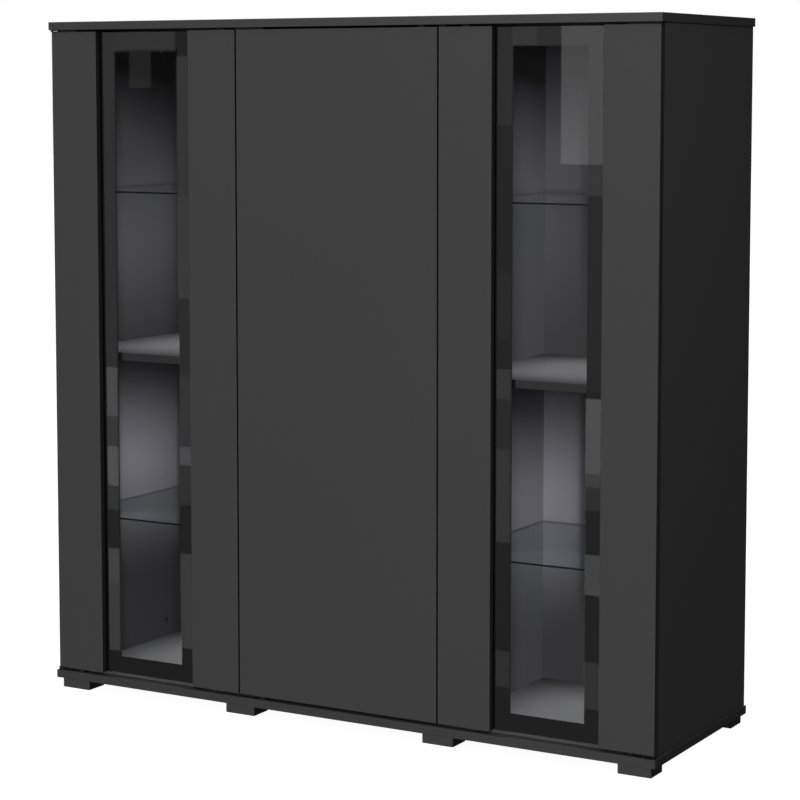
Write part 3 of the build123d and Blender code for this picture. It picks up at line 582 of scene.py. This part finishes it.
def soft_box(name, place, back, size, power, tint=(1, 1, 1)):
    """A rectangular lamp. back is the direction from what it lights to the lamp."""
    data = bpy.data.lights.new(name, "AREA")
    data.shape = "RECTANGLE"
    data.size, data.size_y = size
    data.energy = power
    data.color = tint
    return lamp(name, data, place, back)


def spot(name, aim, cone, power):
    """A narrow lamp beside the camera, brightest on its aim."""
    data = bpy.data.lights.new(name, "SPOT")
    data.energy = power
    data.spot_size = math.radians(cone)
    data.spot_blend = 1
    data.shadow_soft_size = SPOT_RADIUS
    data.color = BAY_LAMP_TINT
    return lamp(name, data, SPOT_PLACE, Vector(SPOT_PLACE) - Vector(aim))


def lamp(name, data, place, back):
    """A light put in its place. back is the direction against which it shines."""
    made = add_object(name, data)
    made.location = place
    made.rotation_mode = "QUATERNION"
    made.rotation_quaternion = Vector(back).to_track_quat("Z", "Y")
    made.visible_camera = False
    return made


def light_only(source, names):
    """The lamp or card lights these pieces and nothing else."""
    group = bpy.data.collections.new(source.name + "_lights")
    for name in names:
        group.objects.link(frame["nodes"].get(name) or bpy.data.objects[name])
    source.light_linking.receiver_collection = group


def lights():
    """What lights the cabinet's outside. The key light leaves out the back panels."""
    key = sun("key", KEY_FROM, KEY_STRENGTH, KEY_SOFTNESS)
    prints = [side + "_door_glass_print" for side in SIDES]
    light_only(key, [n for n in frame["nodes"] if not n.endswith("back_panel")] + prints)
    sun("top", TOP_FROM, TOP_STRENGTH)
    light_only(sun("rear", REAR_FROM, REAR_STRENGTH), frame["nodes"])
    place = Vector(SIDE_LAMP_PLACE)
    low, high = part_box("right_side_panel")
    back = place - (low + high) / 2
    side_lamp = soft_box("side_lamp", place, back, SIDE_LAMP_SIZE, SIDE_LAMP_POWER)
    light_only(side_lamp, ["right_side_panel", "top_panel", "bottom_panel"])


def bay_lights():
    """What lights the bays' walls, from beside the camera, and their shelves, from over them."""
    dividers = [n for n in frame["nodes"] if n.endswith("divider")]
    backs = [n for n in frame["nodes"] if n.endswith("back_panel")]
    for name, place, power, lit in (
        ("left_bay_lamp", BAY_LAMP_PLACE, LEFT_BAY_POWER, ["left_side_panel"]),
        ("right_bay_lamp", BAY_LAMP_PLACE, RIGHT_BAY_POWER, dividers),
        ("back_lamp", BACK_LAMP_PLACE, BACK_LAMP_POWER, backs),
    ):
        back = Vector(place) - Vector(BAY_LAMP_AIM)
        light_only(soft_box(name, place, back, BAY_LAMP_SIZE, power, BAY_LAMP_TINT), lit)
    for number, (aim, cone, power, lit) in enumerate(SPOTS):
        light_only(spot(f"spot_{number}", aim, cone, power), lit)
    for side in SIDES:
        for name, lit, over in (
            ("shelf_lamp", side + "_middle_shelf", "upper_glass_shelf"),
            ("floor_lamp", "bottom_panel", "lower_glass_shelf"),
        ):
            low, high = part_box(f"{side}_{over}")
            middle = (low + high) / 2
            cover_x, cover_y = SHELF_LAMP_COVER
            size = ((high.x - low.x) * cover_x, (high.y - low.y) * cover_y)
            place = (middle.x, middle.y, low.z - SHELF_LAMP_DROP)
            down = soft_box(f"{side}_{name}", place, (0, 0, 1), size, SHELF_LAMP_POWER)
            down.data.spread = math.radians(SHELF_LAMP_SPREAD)
            light_only(down, [lit])


def cards():
    """The room that the door glass mirrors. Nothing else sees the cards or is lit by them."""
    for number, (left, right, low, high, brightness) in enumerate(CARDS):
        name = f"card_{number}"
        corners = [(left, low), (right, low), (right, high), (left, high)]
        card = add_rectangle(name, [(x, CARD_PLANE, z) for x, z in corners])
        tree = Tree(name)
        glow = tree.nodes.new("ShaderNodeEmission")
        glow.inputs["Strength"].default_value = brightness
        card.data.materials.append(tree.finish(glow.outputs[0]))
        light_only(card, [side + "_door_glass" for side in SIDES])
        card.visible_camera = False
        card.visible_diffuse = False
        card.visible_shadow = False
        card.visible_transmission = False


def sky():
    """A white world of its own strength for matt surfaces, for mirrors and for the camera."""
    world = bpy.data.worlds.new("studio")
    world.use_nodes = True
    nodes = world.node_tree.nodes
    links = world.node_tree.links
    nodes.clear()
    output = nodes.new("ShaderNodeOutputWorld")
    path = nodes.new("ShaderNodeLightPath").outputs

    def background(strength):
        node = nodes.new("ShaderNodeBackground")
        node.inputs["Color"].default_value = WHITE
        node.inputs["Strength"].default_value = strength
        return node.outputs[0]

    shader = background(SKY_LIGHT)
    for ray, strength in (("Is Glossy Ray", SKY_MIRRORED), ("Is Camera Ray", SKY_SEEN)):
        choice = nodes.new("ShaderNodeMixShader")
        links.new(path[ray], choice.inputs[0])
        links.new(shader, choice.inputs[1])
        links.new(background(strength), choice.inputs[2])
        shader = choice.outputs[0]
    links.new(shader, output.inputs["Surface"])
    bpy.context.scene.world = world


def camera():
    data = bpy.data.cameras.new("camera")
    data.lens = CAMERA_LENS
    data.shift_y = CAMERA_SHIFT_Y
    eye = add_object("camera", data)
    eye.location = CAMERA_PLACE
    eye.rotation_euler = (math.radians(90 - CAMERA_PITCH), 0, math.radians(CAMERA_YAW))
    bpy.context.scene.camera = eye


dress_all()
glass_prints()
floor()
lights()
bay_lights()
cards()
sky()
camera()
bpy.context.scene.view_settings.view_transform = "Standard"
